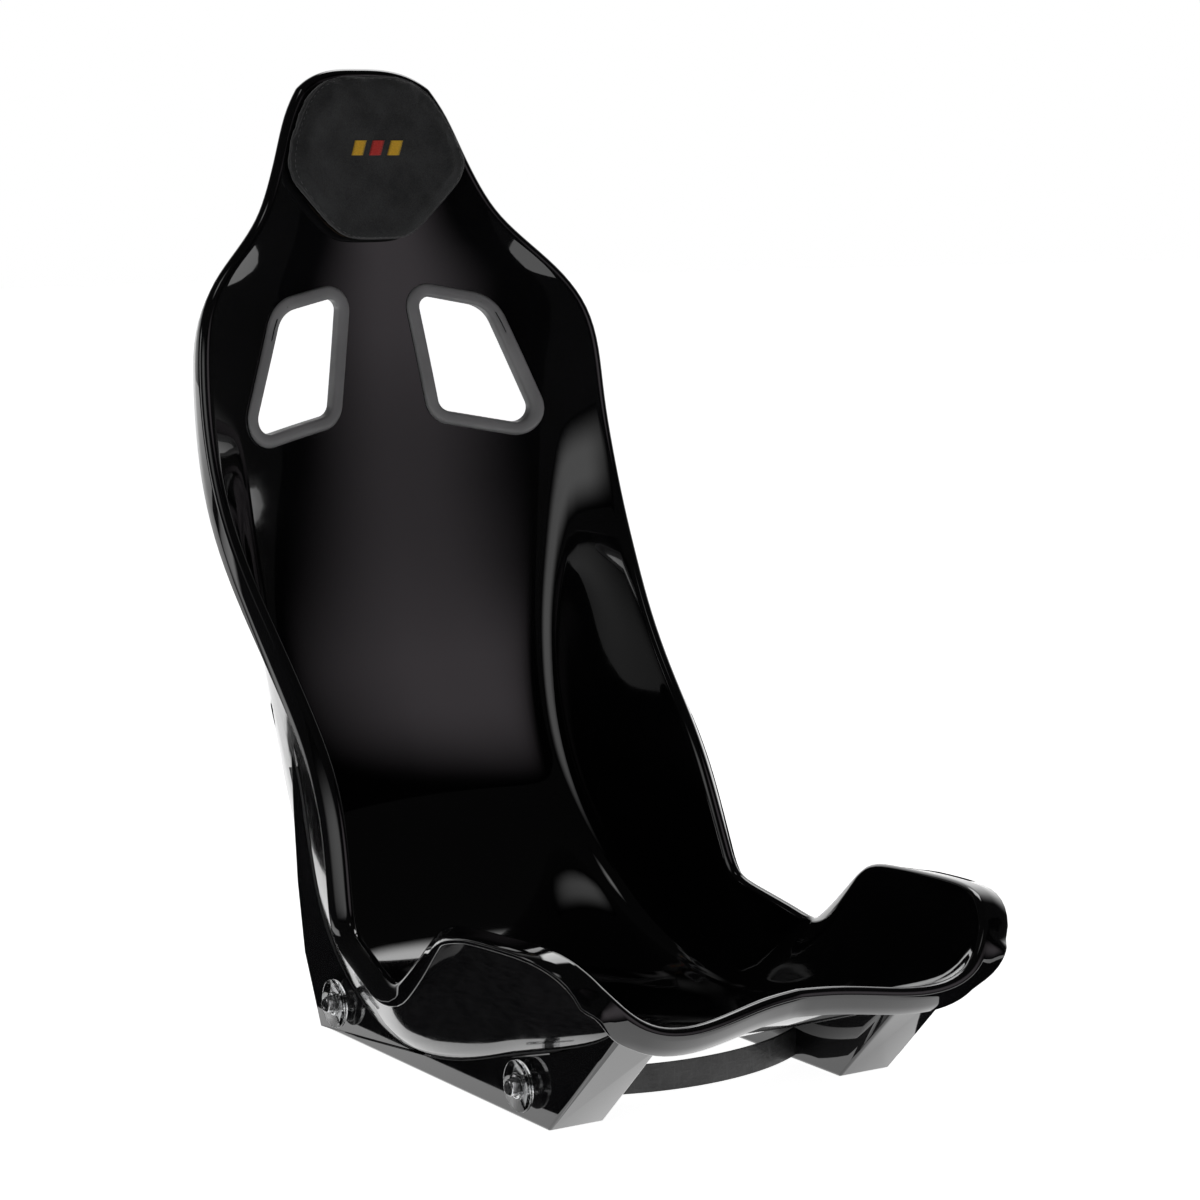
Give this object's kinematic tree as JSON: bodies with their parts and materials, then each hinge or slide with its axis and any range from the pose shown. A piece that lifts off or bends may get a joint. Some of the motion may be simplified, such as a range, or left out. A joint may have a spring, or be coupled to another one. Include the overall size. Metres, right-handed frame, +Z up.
{
  "type": "racing seat",
  "caption": "Fixed-back bucket seat: one-piece gloss shell with harness openings, rolled rim, bonded side boxes with bolted side fixings, and a padded headrest.",
  "frame": {"origin": "on the resting plane, under the middle of the seat's width and length", "axes": "+Z up; the seat faces -Y; +X is the driver's left; symmetric about X = 0 apart from the slant of the badge"},
  "size_m": [0.437, 0.6922, 0.7975],
  "materials": {
    "shell": "polished black gelcoat",
    "laminate": "gloss black laminate",
    "trim": "satin grey",
    "suede": "charcoal suede",
    "foam": "open-cell foam",
    "board": "plain board",
    "badge": "embroidered stripes",
    "hook_and_loop": "hook-and-loop tape",
    "adhesive": "structural adhesive",
    "steel": "zinc-plated steel",
    "clear_plastic": "clear polycarbonate",
    "brass_insert": "turned brass",
    "washer": "plain aluminium"
  },
  "bodies": {
    "root": {"seat_shell": "shell", "cross_member": "laminate", "headrest_board": "board", "headrest_foam": "foam", "headrest_cover": "suede", "headrest_badge": "badge", "hook_and_loop_strips": "hook_and_loop", "side_box_right": "laminate", "adhesive_bead_right": "adhesive", "harness_trim_front_right": "trim", "harness_trim_rear_right": "trim", "side_box_left": "laminate", "adhesive_bead_left": "adhesive", "harness_trim_front_left": "trim", "harness_trim_rear_left": "trim", "cap_screw_front_right": "steel", "clear_disc_front_right": "clear_plastic", "spacer_nut_front_right": "steel", "thread_insert_front_right": "brass_insert", "backing_washer_front_right": "washer", "cap_screw_rear_right": "steel", "clear_disc_rear_right": "clear_plastic", "spacer_nut_rear_right": "steel", "thread_insert_rear_right": "brass_insert", "backing_washer_rear_right": "washer", "cap_screw_front_left": "steel", "clear_disc_front_left": "clear_plastic", "spacer_nut_front_left": "steel", "thread_insert_front_left": "brass_insert", "backing_washer_front_left": "washer", "cap_screw_rear_left": "steel", "clear_disc_rear_left": "clear_plastic", "spacer_nut_rear_left": "steel", "thread_insert_rear_left": "brass_insert", "backing_washer_rear_left": "washer"}
  },
  "joints": []
}
